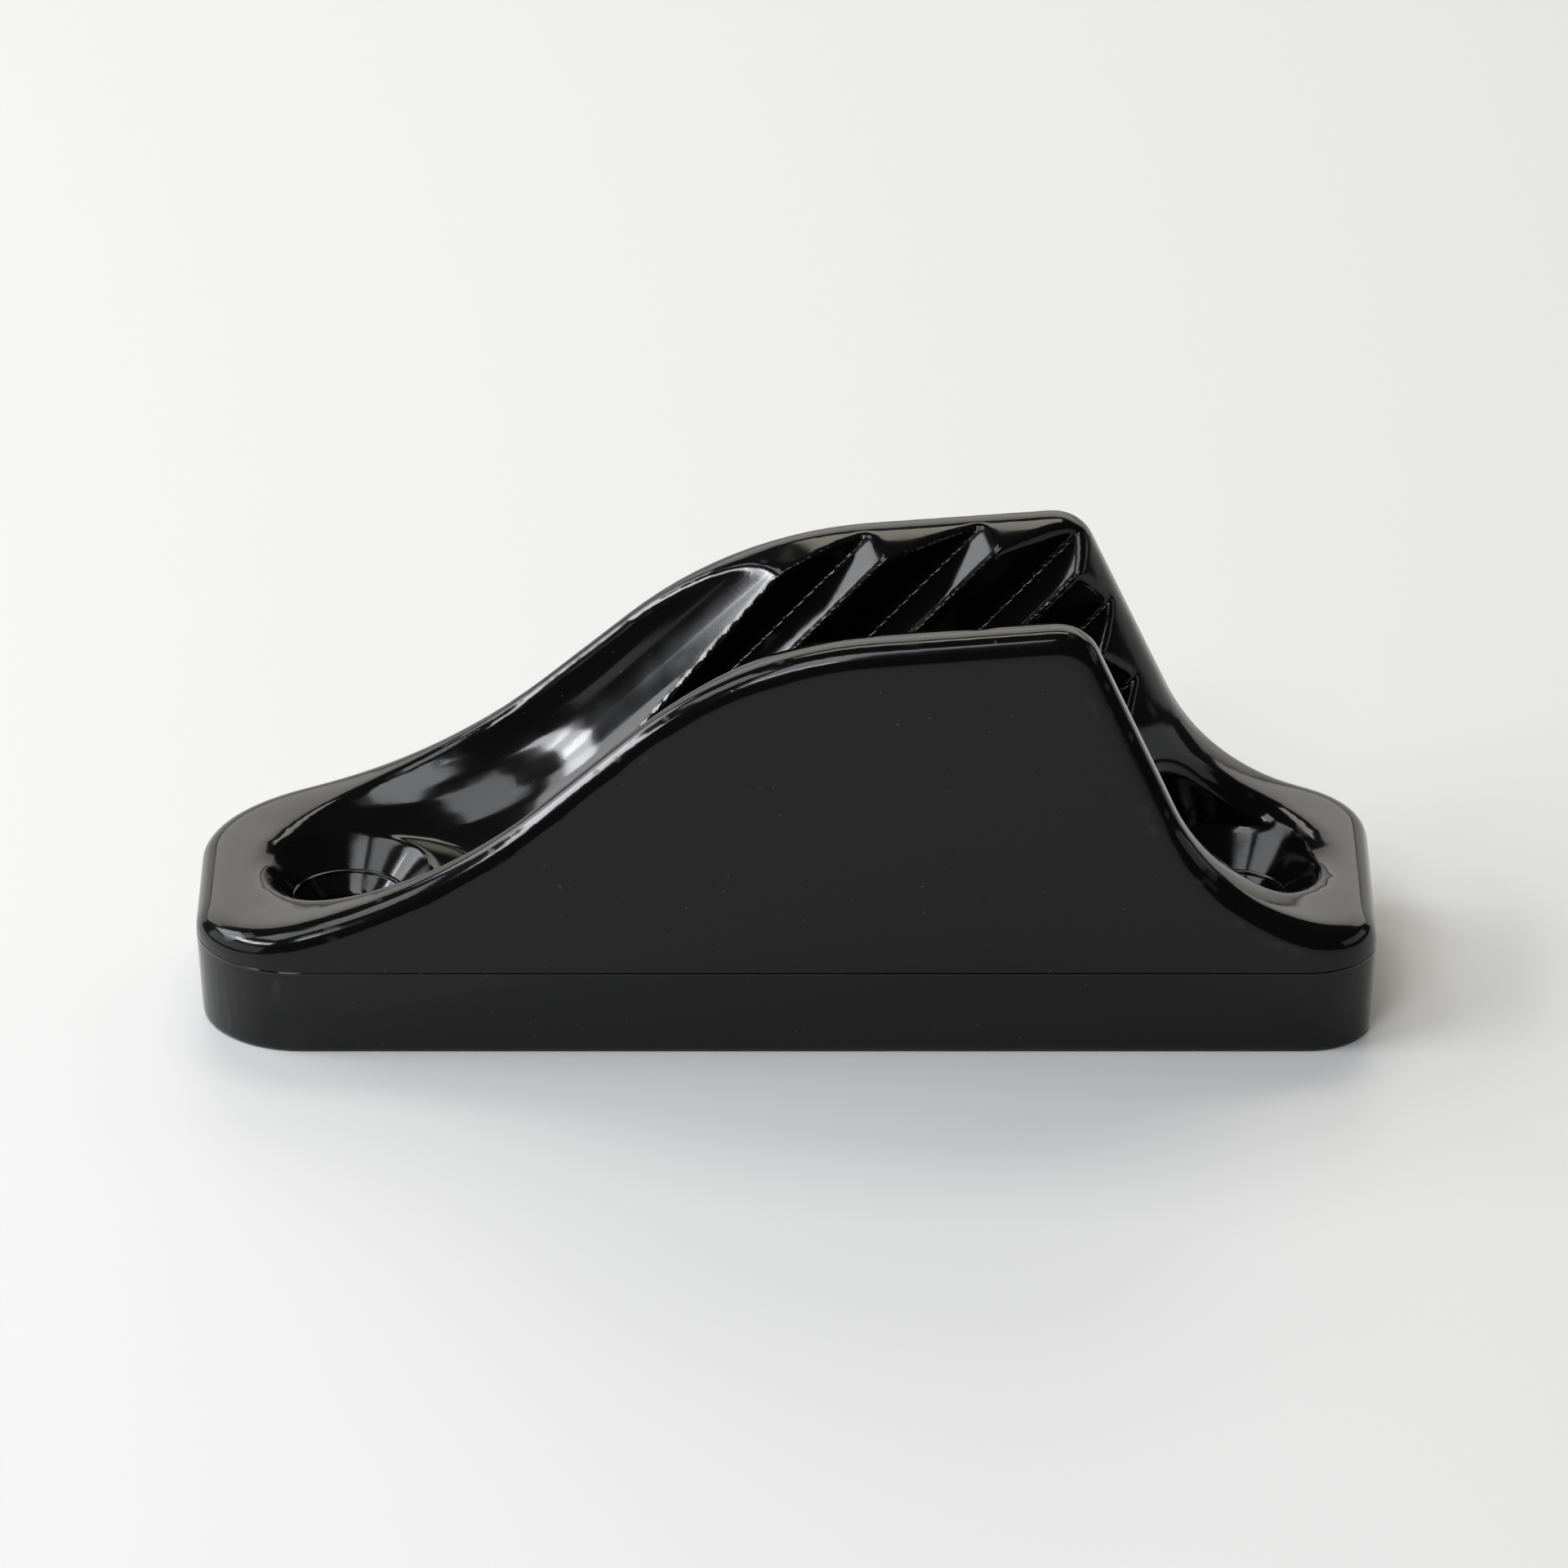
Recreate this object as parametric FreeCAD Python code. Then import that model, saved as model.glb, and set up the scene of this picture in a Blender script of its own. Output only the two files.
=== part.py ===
import FreeCAD, Part

import math
import os

# A jam cleat, moulded as one piece of nylon. A rope is led in over the sloping end on the left (-X),
# drops into the V groove and is pinched between slanted ribs when it is pulled towards the steep end.
# Length runs along X, width along Y, and the flat underside lies at Z = 0 about the origin.
# Sizes are in millimetres and angles in degrees.

# Body and its foot
LENGTH = 66.0
WIDTH = 20.0
PLINTH_HEIGHT = 5.0          # from the underside up to the parting line
PLINTH_INSET = 0.3           # how far the foot draws in at the underside
DRAFT = 0.0                  # lean of the side walls above the parting line
ENTRY_CORNER_RADIUS = 6.0    # plan corners at the sloping end
STEEP_CORNER_RADIUS = 4.0    # plan corners at the steep end
RIM_RADIUS = 1.3             # rounding of the outer rim

# Side outline, each corner given by its distance from its own end and its height
ENTRY_FOOT_TO_END = 12.0
ENTRY_FOOT_HEIGHT = 8.3
ENTRY_FOOT_RADIUS = 35.0
ENTRY_PAD_SLOPE = 9.0
SHOULDER_TO_END = 30.1
SHOULDER_HEIGHT = 23.75
SHOULDER_RADIUS = 24.0
BROW_TO_END = 16.45
BROW_HEIGHT = 25.25
BROW_RADIUS = 2.4
STEEP_FOOT_TO_END = 8.9
STEEP_FOOT_HEIGHT = 8.7
STEEP_FOOT_RADIUS = 12.0
STEEP_PAD_SLOPE = 12.0

# Crown of the cheeks, which fall away from their outer rim towards the groove
CROWN_TO_SIDE = 2.3          # from the side in to where the fall starts
CROWN_FALL = 3.3             # at the middle, where the groove has cut it away
CROWN_STEPS = 6              # between the sections that the crown is drawn through

# Rope groove between the two cheeks
GROOVE_FLOOR_HEIGHT = 6.6
GROOVE_FLOOR_WIDTH = 1.6
GROOVE_WALL_ANGLE = 13.7     # lean of each wall away from the vertical
GROOVE_LIP_RADIUS = 0.6      # rounding where a wall turns over onto the top

# Slanted ribs on both groove walls, measured in the plane of the wall
RIB_ANGLE = 45.0             # rise of the ribs towards the steep end
RIB_PITCH = 4.11
RIB_DEPTH = 2.0
RIB_STEEP_FLANK = 1.52       # part of the pitch taken by the flank that grips
FLUTE_COUNT = 5
FIRST_FLUTE_TO_END = 19.08   # foot of the first flute on the groove floor, from the entry end

# Trumpet-shaped entry that leads the rope up into the groove
TROUGH_RADIUS = 9.0
TROUGH_ANGLE = 44.0
TROUGH_AXIS_HEIGHT = 14.3    # where it starts, level, over the entry screw
TROUGH_BEND_RADIUS = 12.64   # of its axis
MOUTH_LIP_RADIUS = 0.8       # rounding round its edge

# Two screws hold the cleat down
ENTRY_HOLE_TO_END = 8.5
STEEP_HOLE_TO_END = 8.0
HOLE_RADIUS = 2.15
SINK_FOOT_HEIGHT = 4.0       # where the hole starts to open out into the countersink
POCKET_RADIUS = 5.1
POCKET_LIP_RADIUS = 1.5      # rounding round the pocket at the steep end

SAME_PLACE = 0.001           # two things this close are taken as touching
UPRIGHT = 8.0                # a face that leans less than this is a side
OVERRUN = 1.0                # how far cutting solids stand out past the body
FLUTE_OVERRUN = 1.2          # share by which a flute's cutter is longer than the wall needs


def vec(x, y, z):
    return FreeCAD.Vector(x, y, z)


def rounded_wire(corners, place):
    """Join the corners (u, v, radius) by straight lines and tangent arcs into a closed wire."""
    points = [FreeCAD.Vector(u, v, 0) for u, v, radius in corners]
    count = len(points)
    starts = []
    ends = []
    arcs = []
    for index, (u, v, radius) in enumerate(corners):
        corner = points[index]
        if radius == 0:
            starts.append(corner)
            ends.append(corner)
            arcs.append(None)
            continue
        back = (points[index - 1] - corner).normalize()
        ahead = (points[(index + 1) % count] - corner).normalize()
        half_angle = back.getAngle(ahead) / 2
        reach = radius / math.tan(half_angle)
        inward = (back + ahead).normalize()
        middle = corner + inward * (radius / math.sin(half_angle) - radius)
        start = corner + back * reach
        end = corner + ahead * reach
        starts.append(start)
        ends.append(end)
        arcs.append(Part.Arc(place(start.x, start.y), place(middle.x, middle.y), place(end.x, end.y)))
    edges = []
    for index in range(count):
        if arcs[index]:
            edges.append(arcs[index].toShape())
        start = ends[index]
        end = starts[(index + 1) % count]
        edges.append(Part.makeLine(place(start.x, start.y), place(end.x, end.y)))
    return Part.Wire(edges)


def plan_wire(height, inset):
    """Outline seen from above, drawn in by the inset."""
    half_length = LENGTH / 2 - inset
    half_width = WIDTH / 2 - inset
    entry = ENTRY_CORNER_RADIUS - inset
    steep = STEEP_CORNER_RADIUS - inset
    corners = [
        (-half_length, -half_width, entry),
        (half_length, -half_width, steep),
        (half_length, half_width, steep),
        (-half_length, half_width, entry),
    ]
    return rounded_wire(corners, lambda u, v: vec(u, v, height))


def crossing(line, other):
    """Where two lines in the XZ plane cross, each given as a point and a direction."""
    point, along = line
    other_point, other_along = other
    gap = other_point - point
    turn = along.x * other_along.z - along.z * other_along.x
    return point + along * ((gap.x * other_along.z - gap.z * other_along.x) / turn)


def side_lines(fall):
    """Straight stretches of the side outline, with the cheek's three moved in by the fall."""
    entry_foot = vec(-LENGTH / 2 + ENTRY_FOOT_TO_END, 0, ENTRY_FOOT_HEIGHT)
    shoulder = vec(-LENGTH / 2 + SHOULDER_TO_END, 0, SHOULDER_HEIGHT)
    brow = vec(LENGTH / 2 - BROW_TO_END, 0, BROW_HEIGHT)
    steep_foot = vec(LENGTH / 2 - STEEP_FOOT_TO_END, 0, STEEP_FOOT_HEIGHT)
    entry_slope = math.radians(ENTRY_PAD_SLOPE)
    steep_slope = math.radians(STEEP_PAD_SLOPE)
    lines = [(entry_foot, vec(math.cos(entry_slope), 0, math.sin(entry_slope)))]
    for start, end in ((entry_foot, shoulder), (shoulder, brow), (brow, steep_foot)):
        along = (end - start).normalize()
        inward = vec(along.z, 0, -along.x)
        lines.append((start + inward * fall, along))
    lines.append((steep_foot, vec(math.cos(steep_slope), 0, -math.sin(steep_slope))))
    return lines


def side_wire(y, fall):
    """Closed section of the body in the plane at y, down to below the parting line."""
    lines = side_lines(fall)
    entry_side = (vec(-LENGTH / 2 - OVERRUN, 0, 0), vec(0, 0, 1))
    steep_side = (vec(LENGTH / 2 + OVERRUN, 0, 0), vec(0, 0, 1))
    entry_top = crossing(entry_side, lines[0])
    steep_top = crossing(steep_side, lines[-1])
    bottom = PLINTH_HEIGHT - OVERRUN
    corners = [
        (entry_top.x, bottom, 0),
        (entry_top.x, entry_top.z, 0),
    ]
    radii = [ENTRY_FOOT_RADIUS, SHOULDER_RADIUS, BROW_RADIUS, STEEP_FOOT_RADIUS]
    for index, radius in enumerate(radii):
        corner = crossing(lines[index], lines[index + 1])
        corners.append((corner.x, corner.z, radius))
    corners.append((steep_top.x, steep_top.z, 0))
    corners.append((steep_top.x, bottom, 0))
    return rounded_wire(corners, lambda u, v: vec(u, y, v))


def side_form():
    """Everything under the side outline, with the cheeks falling in a smooth hollow to the middle."""
    outer = WIDTH / 2 + OVERRUN
    hollow = WIDTH / 2 - CROWN_TO_SIDE
    wires = []
    for step in range(CROWN_STEPS + 1):
        y = hollow * (1 - 2 * step / CROWN_STEPS)
        fall = CROWN_FALL * math.cos(math.pi / 2 * y / hollow) ** 2
        wires.append(side_wire(y, fall))
    crown = Part.makeLoft(wires, True, False)
    strip = Part.Face(side_wire(hollow, 0)).extrude(vec(0, outer - hollow, 0))
    other_strip = strip.mirror(vec(0, 0, 0), vec(0, 1, 0))
    return crown.fuse([strip, other_strip]).removeSplitter()


def blank():
    """Foot and drafted body, before the groove and the pockets are cut."""
    foot_wires = [plan_wire(0, PLINTH_INSET), plan_wire(PLINTH_HEIGHT, 0)]
    foot = Part.makeLoft(foot_wires, True, True)
    top = BROW_HEIGHT + OVERRUN
    top_inset = (top - PLINTH_HEIGHT) * math.tan(math.radians(DRAFT))
    body_wires = [plan_wire(PLINTH_HEIGHT, 0), plan_wire(top, top_inset)]
    body = Part.makeLoft(body_wires, True, True).common(side_form())
    body = body.makeFillet(RIM_RADIUS, rim_edges(body))
    return foot.fuse(body)


def is_side_face(face):
    """True for the near upright faces round the body."""
    u0, u1, v0, v1 = face.ParameterRange
    normal = face.normalAt((u0 + u1) / 2, (v0 + v1) / 2)
    return abs(normal.z) < math.sin(math.radians(UPRIGHT))


def rim_edges(body):
    """Edges where the top of the body meets its sides."""
    sides = [face for face in body.Faces if is_side_face(face)]
    return [
        edge for edge in body.Edges
        if edge.BoundBox.ZMax > PLINTH_HEIGHT + SAME_PLACE
        and sum(any(edge.isSame(other) for other in face.Edges) for face in sides) == 1
    ]


def groove_half_width(height):
    lean = math.tan(math.radians(GROOVE_WALL_ANGLE))
    return GROOVE_FLOOR_WIDTH / 2 + (height - GROOVE_FLOOR_HEIGHT) * lean


def groove():
    """V groove from one screw pocket to the other, without its ribs."""
    start = entry_hole_x()
    end = steep_hole_x()
    top = BROW_HEIGHT + OVERRUN
    floor = GROOVE_FLOOR_WIDTH / 2
    section = Part.makePolygon([
        vec(start, -floor, GROOVE_FLOOR_HEIGHT),
        vec(start, floor, GROOVE_FLOOR_HEIGHT),
        vec(start, groove_half_width(top), top),
        vec(start, -groove_half_width(top), top),
        vec(start, -floor, GROOVE_FLOOR_HEIGHT),
    ])
    return Part.Face(section).extrude(vec(end - start, 0, 0))


def lip_edges(body, before):
    """Edges that a cut has left on the skin of the body as it was before."""
    skin = Part.Compound(before.Faces)
    seams = Part.Compound(before.Edges)
    found = []
    for edge in body.Edges:
        middle = Part.Vertex(edge.valueAt((edge.FirstParameter + edge.LastParameter) / 2))
        if skin.distToShape(middle)[0] < SAME_PLACE < seams.distToShape(middle)[0]:
            found.append(edge)
    return found


def rounded_cut(body, tool, radius):
    """Cut the tool out and round the edges that it leaves on the top."""
    cut = body.cut(tool)
    above_underside = [edge for edge in lip_edges(cut, body) if edge.BoundBox.ZMin > SAME_PLACE]
    return cut.makeFillet(radius, above_underside)


def flute(number):
    """Cutting prism of one flute on the +Y wall, between two ribs."""
    lean = math.radians(GROOVE_WALL_ANGLE)
    rise = math.radians(RIB_ANGLE)
    along = vec(1, 0, 0)
    up_wall = vec(0, math.sin(lean), math.cos(lean))
    into_wall = vec(0, math.cos(lean), -math.sin(lean))
    up_flute = along * math.cos(rise) + up_wall * math.sin(rise)
    across = along * math.sin(rise) - up_wall * math.cos(rise)
    foot = vec(-LENGTH / 2 + FIRST_FLUTE_TO_END, GROOVE_FLOOR_WIDTH / 2, GROOVE_FLOOR_HEIGHT)
    valley = foot + along * (number * RIB_PITCH / math.sin(rise))
    wide_flank = RIB_PITCH - RIB_STEEP_FLANK
    stand_off = OVERRUN / RIB_DEPTH
    run_in = FLUTE_OVERRUN * (RIB_DEPTH + RIB_PITCH)
    reach = run_in + FLUTE_OVERRUN * BROW_HEIGHT / math.sin(rise)

    def corner(flank, depth):
        return valley - up_flute * run_in + across * flank + into_wall * depth

    section = Part.makePolygon([
        corner(0, RIB_DEPTH),
        corner(-wide_flank * (1 + stand_off), -OVERRUN),
        corner(RIB_STEEP_FLANK * (1 + stand_off), -OVERRUN),
        corner(0, RIB_DEPTH),
    ])
    return Part.Face(section).extrude(up_flute * reach).common(above_groove_floor())


def above_groove_floor():
    return Part.makeBox(LENGTH, WIDTH, LENGTH, vec(-LENGTH / 2, -WIDTH / 2, GROOVE_FLOOR_HEIGHT))


def entry_hole_x():
    return -LENGTH / 2 + ENTRY_HOLE_TO_END


def steep_hole_x():
    return LENGTH / 2 - STEEP_HOLE_TO_END


def entry_trough():
    """Bowl over the entry screw, and a pipe that leaves it level and bends up along the slope."""
    start = vec(entry_hole_x(), 0, TROUGH_AXIS_HEIGHT)
    bend_centre = start + vec(0, 0, TROUGH_BEND_RADIUS)
    angle = math.radians(TROUGH_ANGLE)
    bowl = Part.makeSphere(TROUGH_RADIUS, start)
    disc = Part.Face(Part.Wire(Part.makeCircle(TROUGH_RADIUS, start, vec(1, 0, 0))))
    bend = disc.revolve(bend_centre, vec(0, -1, 0), TROUGH_ANGLE)
    disc.rotate(bend_centre, vec(0, -1, 0), TROUGH_ANGLE)
    straight = disc.extrude(vec(math.cos(angle), 0, math.sin(angle)) * LENGTH)
    return bowl.fuse([bend, straight]).common(above_groove_floor())


def screw_pocket(x):
    """Hole, countersink and the round pocket above it."""
    sink_depth = POCKET_RADIUS - HOLE_RADIUS
    hole = Part.makeCylinder(HOLE_RADIUS, SINK_FOOT_HEIGHT + OVERRUN, vec(x, 0, -OVERRUN))
    sink = Part.makeCone(HOLE_RADIUS, POCKET_RADIUS, sink_depth, vec(x, 0, SINK_FOOT_HEIGHT))
    pocket = Part.makeCylinder(POCKET_RADIUS, BROW_HEIGHT, vec(x, 0, SINK_FOOT_HEIGHT + sink_depth))
    return hole.fuse([sink, pocket])


def cleat():
    body = blank()
    body = rounded_cut(body, entry_trough(), MOUTH_LIP_RADIUS)
    body = rounded_cut(body, screw_pocket(steep_hole_x()), POCKET_LIP_RADIUS)
    body = body.cut(screw_pocket(entry_hole_x()))
    body = rounded_cut(body, groove(), GROOVE_LIP_RADIUS)
    for number in range(FLUTE_COUNT):
        one = flute(number)
        body = body.cut(one)
        body = body.cut(one.mirror(vec(0, 0, 0), vec(0, 1, 0)))
    return body


os.makedirs("parts", exist_ok=True)
shape = cleat()
shape.exportStep("parts/cleat_body.step")
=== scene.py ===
"""Glossy black jam cleat on a pale studio floor.

Lengths are in metres. The cleat's steep end points along +X, and the camera looks from the -Y side.
"""

import logging
import math
from dataclasses import dataclass, field
from enum import Enum

import bmesh
import bpy
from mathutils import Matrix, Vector


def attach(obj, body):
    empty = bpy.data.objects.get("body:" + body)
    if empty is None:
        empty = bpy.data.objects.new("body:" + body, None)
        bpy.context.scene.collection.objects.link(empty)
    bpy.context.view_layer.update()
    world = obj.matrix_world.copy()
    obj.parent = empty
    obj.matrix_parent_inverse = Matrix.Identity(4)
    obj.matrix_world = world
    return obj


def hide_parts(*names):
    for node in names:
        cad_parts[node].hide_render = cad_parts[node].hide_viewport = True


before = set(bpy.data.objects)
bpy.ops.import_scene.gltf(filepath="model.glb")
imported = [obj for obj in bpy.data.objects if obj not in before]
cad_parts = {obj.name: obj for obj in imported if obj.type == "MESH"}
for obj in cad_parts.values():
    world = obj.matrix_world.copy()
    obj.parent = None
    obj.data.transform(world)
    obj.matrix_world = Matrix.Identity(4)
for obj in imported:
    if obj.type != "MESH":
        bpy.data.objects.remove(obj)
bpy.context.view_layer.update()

log = logging.getLogger("jam_cleat")

BODY_NODE = "cleat_body"
BODY_SLOT = "black_nylon"
ROOT_BODY = "root"
SHADER_NODE = "Principled BSDF"
MILLIMETRE = 0.001
PARTING_HEIGHT = 5.0 * MILLIMETRE


class Tone(Enum):
    """Linear colours of the cleat's plastic and of the studio."""

    NYLON = (0.0025, 0.0025, 0.0027, 1.0)
    SCUFF = (0.012, 0.012, 0.012, 1.0)
    DUST = (0.04, 0.04, 0.04, 1.0)
    FLOOR = (0.68, 0.68, 0.68, 1.0)
    SURROUND = (0.05, 0.05, 0.05, 1.0)
    COOL_WHITE = (0.95, 0.97, 1.0)
    WARM_WHITE = (1.0, 0.975, 0.92)
    CREAM = (1.0, 0.97, 0.82)


def put_in_scene(name: str, data: bpy.types.ID) -> bpy.types.Object:
    """Make an object and link it to the scene.

    Args:
        name: The object's name.
        data: Its mesh, light or camera.

    Returns:
        The object, at the origin.
    """
    thing = bpy.data.objects.new(name, data)
    bpy.context.scene.collection.objects.link(thing)
    return thing


def stand_off(
    thing: bpy.types.Object, target: Vector, azimuth: float, elevation: float, distance: float
) -> None:
    """Stand a lamp or the camera off from a point and turn it to face that point.

    Args:
        thing: The lamp or the camera.
        target: The point that it faces.
        azimuth: Degrees round from the camera's side of the cleat, towards +X.
        elevation: Degrees above level.
        distance: How far off it stands.
    """
    turn = math.radians(azimuth)
    rise = math.radians(elevation)
    away = Vector((
        math.cos(rise) * math.sin(turn),
        -math.cos(rise) * math.cos(turn),
        math.sin(rise),
    ))
    thing.location = target + away * distance
    thing.rotation_euler = away.to_track_quat("Z", "Y").to_euler()


def clamped(share: float) -> float:
    """Keep a share between 0 and 1."""
    return min(max(share, 0.0), 1.0)


@dataclass(frozen=True)
class GlossNylon:
    """Black nylon as it leaves a polished mould, a little scuffed on its edges, which are also
    lightened as a painted highlight.
    """

    slot: str = BODY_SLOT
    index_of_refraction: float = 1.5
    specular_level: float = 0.32
    roughness: float = 0.1
    roughness_spread: float = 0.05
    mottle_size: float = 2.5 * MILLIMETRE
    mottle_detail: float = 4.0
    mottle_limits: tuple[float, float] = (0.3, 0.7)
    ripple_size: float = 7.0 * MILLIMETRE
    ripple_height: float = 0.008 * MILLIMETRE
    grain_size: float = 0.15 * MILLIMETRE
    grain_height: float = 0.0006 * MILLIMETRE
    relief_detail: float = 2.0
    speck_size: float = 0.3 * MILLIMETRE
    speck_detail: float = 1.0
    speck_share: float = 0.78
    speck_fade: float = 0.02
    seam_half_width: float = 0.11 * MILLIMETRE
    seam_stand: float = 0.05 * MILLIMETRE
    wear_and_sheen_limits: tuple[float, float] = (0.53, 0.64)
    wear_roughness: float = 0.16

    @staticmethod
    def noise(nodes: bpy.types.Nodes, size: float, detail: float) -> bpy.types.Node:
        """Add a noise pattern.

        Args:
            nodes: The material's nodes.
            size: The width of one patch of the pattern.
            detail: How many finer layers it has.

        Returns:
            The noise node.
        """
        noise = nodes.new("ShaderNodeTexNoise")
        noise.inputs["Scale"].default_value = 1.0 / size
        noise.inputs["Detail"].default_value = detail
        return noise

    @staticmethod
    def spread(nodes: bpy.types.Nodes, limits: tuple[float, float, float, float]) -> bpy.types.Node:
        """Add a node that carries one range over to another.

        Args:
            nodes: The material's nodes.
            limits: The range that comes in and the range that goes out.

        Returns:
            The map range node.
        """
        spread = nodes.new("ShaderNodeMapRange")
        for socket, value in zip(("From Min", "From Max", "To Min", "To Max"), limits):
            spread.inputs[socket].default_value = value
        return spread

    def material(self) -> bpy.types.Material:
        """Build the node material.

        Returns:
            The finished material.
        """
        material = bpy.data.materials.new(self.slot)
        material.use_nodes = True
        nodes = material.node_tree.nodes
        shader = nodes[SHADER_NODE]
        shader.inputs["IOR"].default_value = self.index_of_refraction
        shader.inputs["Specular IOR Level"].default_value = self.specular_level
        place = nodes.new("ShaderNodeTexCoord").outputs["Object"]
        wear_and_sheen = self.edge_wear_and_sheen(material)
        self.dress_roughness(material, place, wear_and_sheen)
        self.dress_colour(material, place, wear_and_sheen)
        self.dress_relief(material, place)
        return material

    def edge_wear_and_sheen(self, material: bpy.types.Material) -> bpy.types.NodeSocket:
        """Find how far each point lies on a sharp edge, which is lightened partly as scuffing and
        partly as a painted highlight.

        Args:
            material: The material that is built.

        Returns:
            A socket that is 0 on the faces and 1 on the sharpest edges.
        """
        nodes = material.node_tree.nodes
        shape = nodes.new("ShaderNodeNewGeometry")
        wear_and_sheen = self.spread(nodes, (*self.wear_and_sheen_limits, 0.0, 1.0))
        material.node_tree.links.new(shape.outputs["Pointiness"], wear_and_sheen.inputs["Value"])
        return wear_and_sheen.outputs["Result"]

    def dress_roughness(
        self, material: bpy.types.Material, place: bpy.types.NodeSocket, wear_and_sheen: bpy.types.NodeSocket
    ) -> None:
        """Let the gloss vary in soft patches and dull it on the edges.

        Args:
            material: The material that is built.
            place: The point on the body.
            wear_and_sheen: How far the point lies on a sharp edge that is scuffed and carries a
                painted highlight.
        """
        nodes = material.node_tree.nodes
        links = material.node_tree.links
        mottle = self.noise(nodes, self.mottle_size, self.mottle_detail)
        links.new(place, mottle.inputs["Vector"])
        half = self.roughness_spread / 2
        gloss = self.spread(nodes, (*self.mottle_limits, self.roughness - half, self.roughness + half))
        links.new(mottle.outputs["Fac"], gloss.inputs["Value"])
        dulled = nodes.new("ShaderNodeMath")
        dulled.operation = "MULTIPLY_ADD"
        dulled.inputs[1].default_value = self.wear_roughness
        links.new(wear_and_sheen, dulled.inputs[0])
        links.new(gloss.outputs["Result"], dulled.inputs[2])
        links.new(dulled.outputs["Value"], nodes[SHADER_NODE].inputs["Roughness"])

    def dress_colour(
        self, material: bpy.types.Material, place: bpy.types.NodeSocket, wear_and_sheen: bpy.types.NodeSocket
    ) -> None:
        """Grey the black on sharp edges, partly as scuffing and partly as a painted highlight, and
        scatter a few specks of dust.

        Args:
            material: The material that is built.
            place: The point on the body.
            wear_and_sheen: How far the point lies on a sharp edge that is scuffed and carries a
                painted highlight.
        """
        nodes = material.node_tree.nodes
        links = material.node_tree.links
        # Painted highlight: sharp edges are lightened a little, partly as real scuffing and partly
        # standing in for the glints along the crests.
        scuff_and_sheen = nodes.new("ShaderNodeMix")
        scuff_and_sheen.data_type = "RGBA"
        scuff_and_sheen.inputs["A"].default_value = Tone.NYLON.value
        scuff_and_sheen.inputs["B"].default_value = Tone.SCUFF.value
        links.new(wear_and_sheen, scuff_and_sheen.inputs["Factor"])
        specks = self.noise(nodes, self.speck_size, self.speck_detail)
        links.new(place, specks.inputs["Vector"])
        speck = self.spread(nodes, (self.speck_share, self.speck_share + self.speck_fade, 0.0, 1.0))
        links.new(specks.outputs["Fac"], speck.inputs["Value"])
        dusty = nodes.new("ShaderNodeMix")
        dusty.data_type = "RGBA"
        links.new(scuff_and_sheen.outputs["Result"], dusty.inputs["A"])
        dusty.inputs["B"].default_value = Tone.DUST.value
        links.new(speck.outputs["Result"], dusty.inputs["Factor"])
        links.new(dusty.outputs["Result"], nodes[SHADER_NODE].inputs["Base Color"])

    def dress_relief(self, material: bpy.types.Material, place: bpy.types.NodeSocket) -> None:
        """Raise the mould's parting line and add its faint ripple and grain.

        Args:
            material: The material that is built.
            place: The point on the body.
        """
        nodes = material.node_tree.nodes
        links = material.node_tree.links
        ripple = self.noise(nodes, self.ripple_size, self.relief_detail)
        grain = self.noise(nodes, self.grain_size, self.relief_detail)
        links.new(place, ripple.inputs["Vector"])
        links.new(place, grain.inputs["Vector"])
        parts = nodes.new("ShaderNodeSeparateXYZ")
        links.new(place, parts.inputs["Vector"])
        above = nodes.new("ShaderNodeMath")
        above.operation = "SUBTRACT"
        above.inputs[1].default_value = PARTING_HEIGHT
        links.new(parts.outputs["Z"], above.inputs[0])
        apart = nodes.new("ShaderNodeMath")
        apart.operation = "ABSOLUTE"
        links.new(above.outputs["Value"], apart.inputs[0])
        seam = self.spread(nodes, (0.0, self.seam_half_width, 1.0, 0.0))
        seam.interpolation_type = "SMOOTHSTEP"
        links.new(apart.outputs["Value"], seam.inputs["Value"])
        layers = (
            (ripple.outputs["Fac"], self.ripple_height),
            (grain.outputs["Fac"], self.grain_height),
            (seam.outputs["Result"], self.seam_stand),
        )
        normal = None
        for height, distance in layers:
            bump = nodes.new("ShaderNodeBump")
            bump.inputs["Distance"].default_value = distance
            links.new(height, bump.inputs["Height"])
            if normal:
                links.new(normal, bump.inputs["Normal"])
            normal = bump.outputs["Normal"]
        links.new(normal, nodes[SHADER_NODE].inputs["Normal"])


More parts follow.
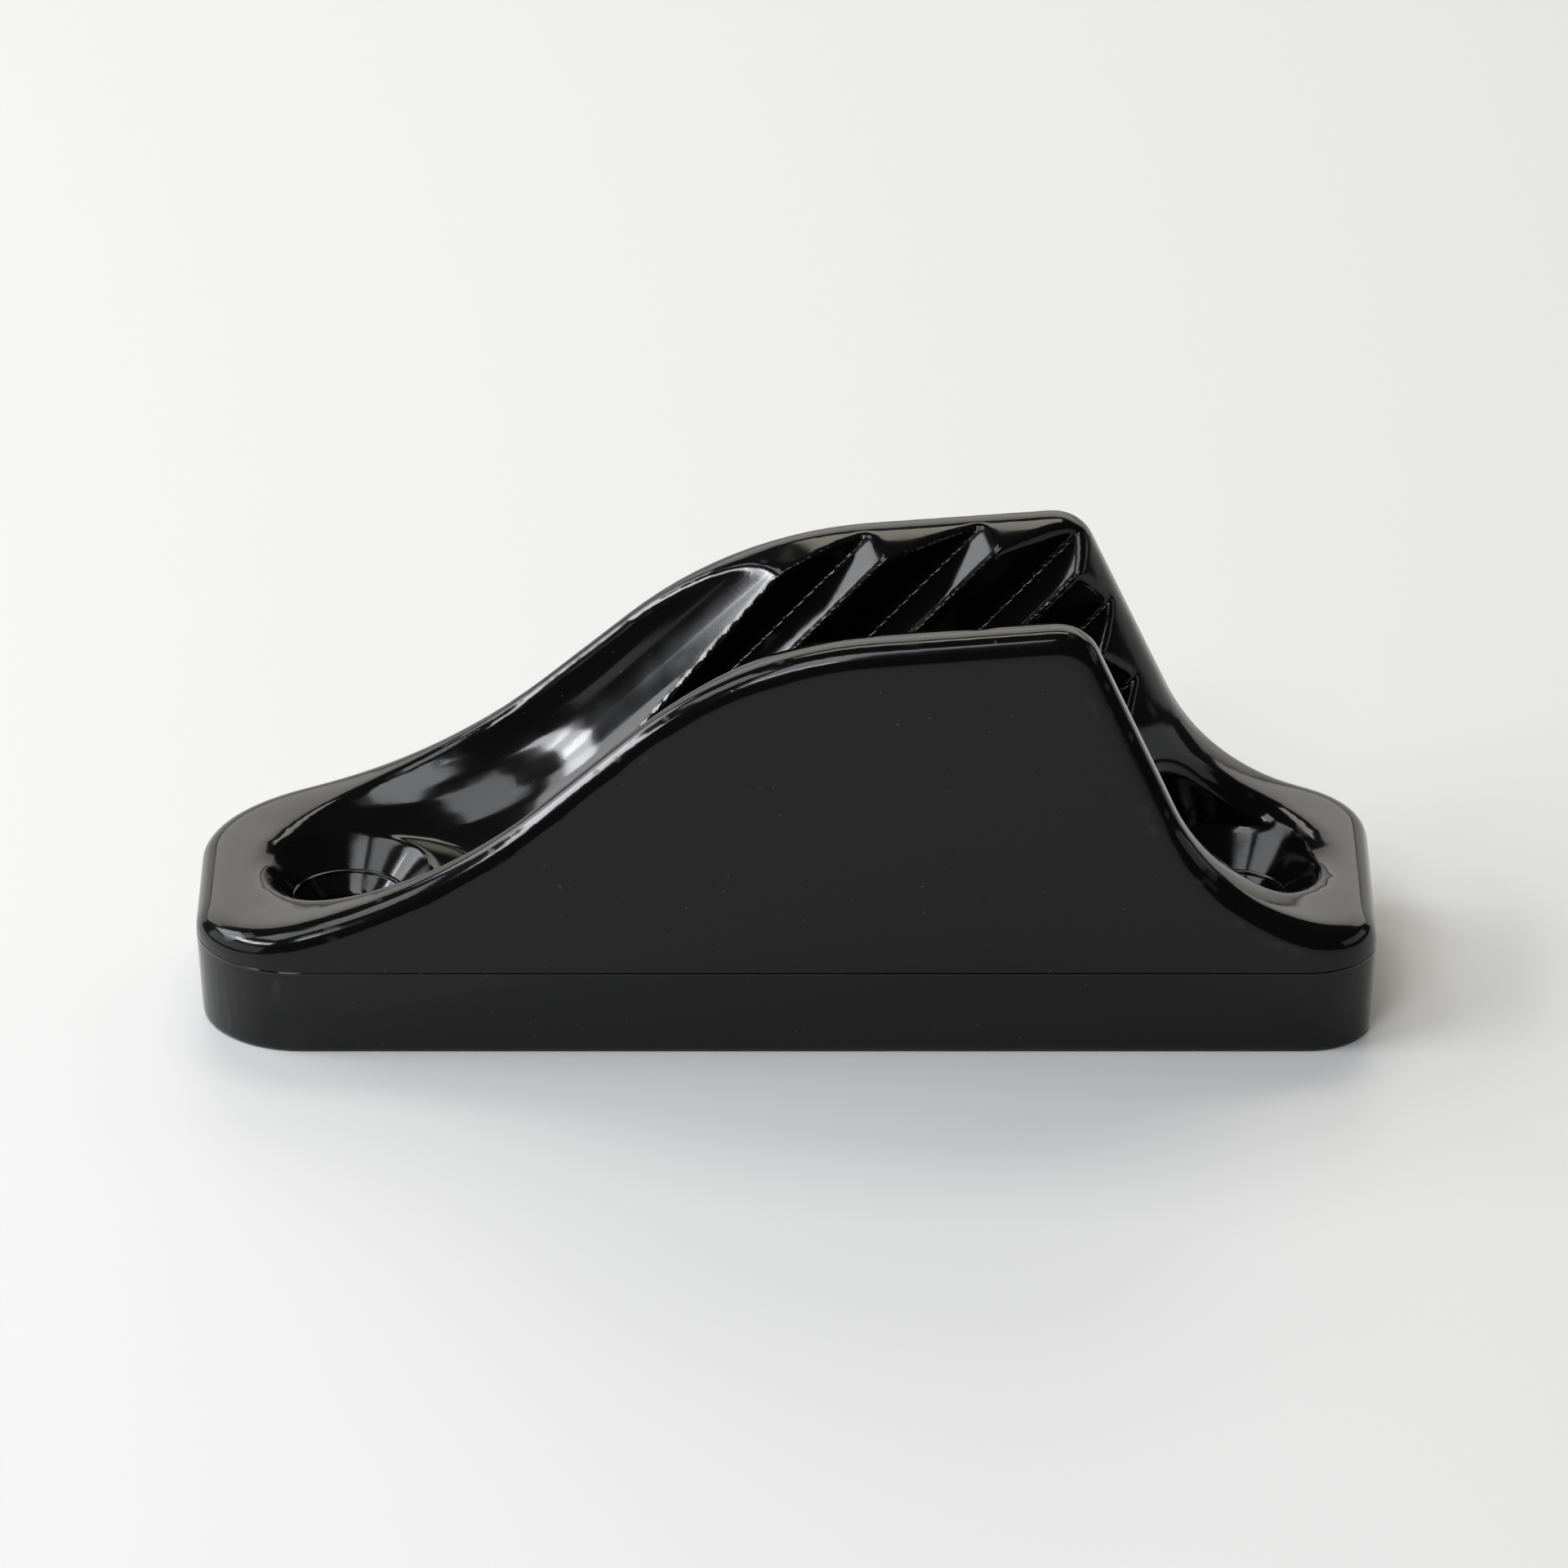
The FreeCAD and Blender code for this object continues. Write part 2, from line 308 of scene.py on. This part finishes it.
@dataclass
class CleatBody:
    """The moulded body: the solid's form, with drafted long walls and a moulding's soft edges.

    The skin is worked at a larger scale, because thinning tears a mesh as small as this one.
    """

    node: str = BODY_NODE
    merge_distance: float = 0.0005 * MILLIMETRE
    draft: float = math.radians(3.0)
    lean_from: float = 6.5 * MILLIMETRE
    skin_depth: int = 9
    skin_scale: float = 0.95
    soft_rounds: int = 24
    end_reach: float = 7.0 * MILLIMETRE
    end_margin: float = 0.6 * MILLIMETRE
    end_rounds: int = 110
    kept_share: float = 0.23
    foot_height: float = 1.0 * MILLIMETRE
    foot_edge: float = 1.3 * MILLIMETRE
    foot_corner: float = 3.0 * MILLIMETRE
    hole_places: tuple[float, ...] = (-24.5 * MILLIMETRE, 25.0 * MILLIMETRE)
    hole_surround: float = 3.6 * MILLIMETRE
    work_scale: float = 1000.0
    finish: GlossNylon = field(default_factory=GlossNylon)

    def lean_walls(self, shell: bmesh.types.BMesh) -> None:
        """Give the two long walls their mould draft above the parting line.

        Args:
            shell: The body's mesh.
        """
        half_width = max(vert.co.y for vert in shell.verts)
        for vert in shell.verts:
            rise = max(vert.co.z - PARTING_HEIGHT, 0.0)
            share = (abs(vert.co.y) - self.lean_from) / (half_width - self.lean_from)
            lean = rise * math.tan(self.draft) * clamped(share)
            vert.co.y -= math.copysign(lean, vert.co.y)

    def merged(self) -> bpy.types.Mesh:
        """Merge a copy of the solid's loose triangles into one closed mesh.

        Returns:
            The merged mesh, with its walls leaning in, at the working scale.
        """
        shell = bmesh.new()
        shell.from_mesh(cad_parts[self.node].data)
        bmesh.ops.remove_doubles(shell, verts=shell.verts, dist=self.merge_distance)
        self.lean_walls(shell)
        bmesh.ops.scale(shell, verts=shell.verts, vec=(self.work_scale,) * 3)
        mesh = bpy.data.meshes.new("merged")
        shell.to_mesh(mesh)
        shell.free()
        return mesh

    @staticmethod
    def finished(blank: bpy.types.Object) -> bpy.types.Mesh:
        """Apply an object's modifiers and take the object out of the scene.

        Args:
            blank: The object with its modifiers.

        Returns:
            The mesh that its modifiers make.
        """
        graph = bpy.context.evaluated_depsgraph_get()
        mesh = bpy.data.meshes.new_from_object(blank.evaluated_get(graph))
        bpy.data.objects.remove(blank)
        return mesh

    def even_skin(self) -> bpy.types.Mesh:
        """Cover the merged mesh with small, even faces.

        Returns:
            The mesh of the even skin.
        """
        blank = put_in_scene("blank", self.merged())
        cover = blank.modifiers.new("cover", "REMESH")
        cover.mode = "SHARP"
        cover.octree_depth = self.skin_depth
        cover.scale = self.skin_scale
        cover.use_remove_disconnected = False
        return self.finished(blank)

    def end_share(self, place: Vector, half_length: float) -> float:
        """Say how far a point takes part in the extra rounding of the pads' rims.

        Args:
            place: The point.
            half_length: Half the body's length.

        Returns:
            A share from 0, well inside or near the parting line, to 1 at the ends.
        """
        along = (abs(place.x) - half_length + self.end_reach) / self.end_reach
        above = (place.z - PARTING_HEIGHT - self.end_margin) / self.end_margin
        return clamped(along) * clamped(above)

    def on_foot_edge(self, place: Vector, half_length: float, half_width: float) -> bool:
        """Say whether a point lies on the underside's outer edge or round a hole.

        Args:
            place: The point.
            half_length: Half the body's length.
            half_width: Half the body's width.

        Returns:
            Whether thinning leaves the point alone.
        """
        if place.z > self.foot_height:
            return False
        beside = abs(place.y) > half_width - self.foot_edge
        beyond = abs(place.x) > half_length - self.foot_corner
        holes = [math.hypot(place.x - hole, place.y) < self.hole_surround for hole in self.hole_places]
        return beside or beyond or any(holes)

    def soft_skin(self) -> bpy.types.Mesh:
        """Round the skin's edges, those of the two pads further, and thin it.

        Returns:
            The mesh of the soft skin, still at the working scale.
        """
        blank = put_in_scene("blank", self.even_skin())
        ends = blank.vertex_groups.new(name="ends")
        thinnable = blank.vertex_groups.new(name="thinnable")
        places = [vert.co / self.work_scale for vert in blank.data.vertices]
        half_length = max(place.x for place in places)
        half_width = max(place.y for place in places)
        for index, place in enumerate(places):
            share = self.end_share(place, half_length)
            if share > 0.0:
                ends.add([index], share, "REPLACE")
            if not self.on_foot_edge(place, half_length, half_width):
                thinnable.add([index], 1.0, "REPLACE")
        soft_edges = blank.modifiers.new("soft_edges", "SMOOTH")
        soft_edges.iterations = self.soft_rounds
        soft_ends = blank.modifiers.new("soft_ends", "SMOOTH")
        soft_ends.iterations = self.end_rounds
        soft_ends.vertex_group = ends.name
        thinned = blank.modifiers.new("thinned", "DECIMATE")
        thinned.ratio = self.kept_share
        thinned.vertex_group = thinnable.name
        return self.finished(blank)

    def mesh(self) -> bpy.types.Mesh:
        """Bring the soft skin to its real size and give it its finish.

        Returns:
            The smooth-shaded mesh.
        """
        skin = bmesh.new()
        skin.from_mesh(self.soft_skin())
        bmesh.ops.scale(skin, verts=skin.verts, vec=(1.0 / self.work_scale,) * 3)
        for face in skin.faces:
            face.smooth = True
        mesh = bpy.data.meshes.new("cleat")
        skin.to_mesh(mesh)
        skin.free()
        mesh.materials.append(self.finish.material())
        return mesh

    def build(self) -> bpy.types.Object:
        """Put the body in the scene in place of its solid.

        Returns:
            The body's object.
        """
        piece = put_in_scene("cleat", self.mesh())
        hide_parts(self.node)
        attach(piece, ROOT_BODY)
        return piece


@dataclass(frozen=True)
class Lamp:
    """A soft rectangular lamp aimed at the cleat, with its two angles in degrees."""

    name: str
    azimuth: float
    elevation: float
    distance: float
    width: float
    height: float
    radiance: float
    tone: Tone

    def build(self, target: Vector) -> bpy.types.Object:
        """Place the lamp.

        Args:
            target: The point that the lamp faces.

        Returns:
            The lamp's object.
        """
        light = bpy.data.lights.new(self.name, "AREA")
        light.shape = "RECTANGLE"
        light.size = self.width
        light.size_y = self.height
        light.color = self.tone.value
        light.energy = self.radiance * math.pi * self.width * self.height
        lamp = put_in_scene(self.name, light)
        stand_off(lamp, target, self.azimuth, self.elevation, self.distance)
        return lamp


@dataclass
class Studio:
    """Floor, lamps and surround."""

    floor_size: float = 6.0
    floor_roughness: float = 0.45
    lamps: tuple[Lamp, ...] = (
        Lamp("back_card", 180.0, 27.0, 0.70, 1.20, 0.28, 1.7, Tone.WARM_WHITE),
        Lamp("back_low", 180.0, 6.0, 0.80, 1.50, 0.22, 0.8, Tone.WARM_WHITE),
        Lamp("back_top", 180.0, 57.0, 0.60, 0.38, 0.16, 4.6, Tone.CREAM),
        Lamp("window_pane_0", -20.0, 38.0, 0.60, 0.16, 0.05, 17.0, Tone.COOL_WHITE),
        Lamp("window_pane_1", -61.0, 33.2, 0.60, 0.167, 0.065, 17.0, Tone.COOL_WHITE),
        Lamp("window_pane_2", -77.0, 33.2, 0.60, 0.167, 0.070, 19.0, Tone.COOL_WHITE),
        Lamp("window_pane_3", -93.0, 33.2, 0.60, 0.167, 0.070, 19.0, Tone.COOL_WHITE),
        Lamp("window_pane_4", -113.0, 33.0, 0.60, 0.26, 0.18, 6.5, Tone.COOL_WHITE),
        Lamp("left_low", -85.0, 14.0, 0.60, 0.80, 0.20, 1.2, Tone.COOL_WHITE),
        Lamp("right_low", 95.0, 14.0, 0.60, 0.60, 0.16, 0.7, Tone.COOL_WHITE),
        Lamp("left_card", -78.0, 55.0, 0.60, 0.30, 0.16, 4.5, Tone.COOL_WHITE),
        Lamp("front_window", -22.0, 53.0, 0.60, 0.20, 0.24, 6.0, Tone.COOL_WHITE),
    )

    def floor(self) -> bpy.types.Object:
        """Lay the pale floor under the cleat.

        Returns:
            The floor's object.
        """
        sheet = bmesh.new()
        bmesh.ops.create_grid(sheet, x_segments=1, y_segments=1, size=self.floor_size / 2)
        mesh = bpy.data.meshes.new("floor")
        sheet.to_mesh(mesh)
        sheet.free()
        material = bpy.data.materials.new("pale_floor")
        material.use_nodes = True
        shader = material.node_tree.nodes[SHADER_NODE]
        shader.inputs["Base Color"].default_value = Tone.FLOOR.value
        shader.inputs["Roughness"].default_value = self.floor_roughness
        mesh.materials.append(material)
        floor = put_in_scene("floor", mesh)
        return floor

    def surround(self) -> None:
        """Give the world a dim, even grey."""
        world = bpy.data.worlds.new("surround")
        world.use_nodes = True
        world.node_tree.nodes["Background"].inputs["Color"].default_value = Tone.SURROUND.value
        bpy.context.scene.world = world

    def build(self, target: Vector) -> None:
        """Set up the whole studio.

        Args:
            target: The point that the lamps face.
        """
        self.floor()
        self.surround()
        for lamp in self.lamps:
            lamp.build(target)


@dataclass(frozen=True)
class PhotoCamera:
    """The photograph's viewpoint: square on to the long side, looking down."""

    azimuth: float = 0.0
    elevation: float = 25.5
    distance: float = 660.0 * MILLIMETRE
    target_height: float = 11.95 * MILLIMETRE
    lens: float = 270.4
    sensor: float = 36.0
    image_size: float = 1920.0
    centre_x: float = 962.0
    clip_start: float = 10.0 * MILLIMETRE
    clip_end: float = 20.0

    def target(self) -> Vector:
        """Give the point that the camera faces, and the lamps with it."""
        return Vector((0.0, 0.0, self.target_height))

    def build(self) -> bpy.types.Object:
        """Place the camera and make it the scene's own.

        Returns:
            The camera's object.
        """
        data = bpy.data.cameras.new("camera")
        data.sensor_fit = "HORIZONTAL"
        data.sensor_width = self.sensor
        data.lens = self.lens
        data.shift_x = (self.image_size / 2 - self.centre_x) / self.image_size
        data.clip_start = self.clip_start
        data.clip_end = self.clip_end
        camera = put_in_scene("camera", data)
        stand_off(camera, self.target(), self.azimuth, self.elevation, self.distance)
        bpy.context.scene.camera = camera
        return camera


def main() -> None:
    """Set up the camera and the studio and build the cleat."""
    logging.basicConfig(level=logging.INFO, format="%(name)s: %(message)s")
    bpy.context.scene.view_settings.view_transform = "Standard"
    camera = PhotoCamera()
    camera.build()
    Studio().build(camera.target())
    body = CleatBody().build()
    log.info("%s: %d faces", body.name, len(body.data.polygons))


if __name__ == "__main__":
    main()
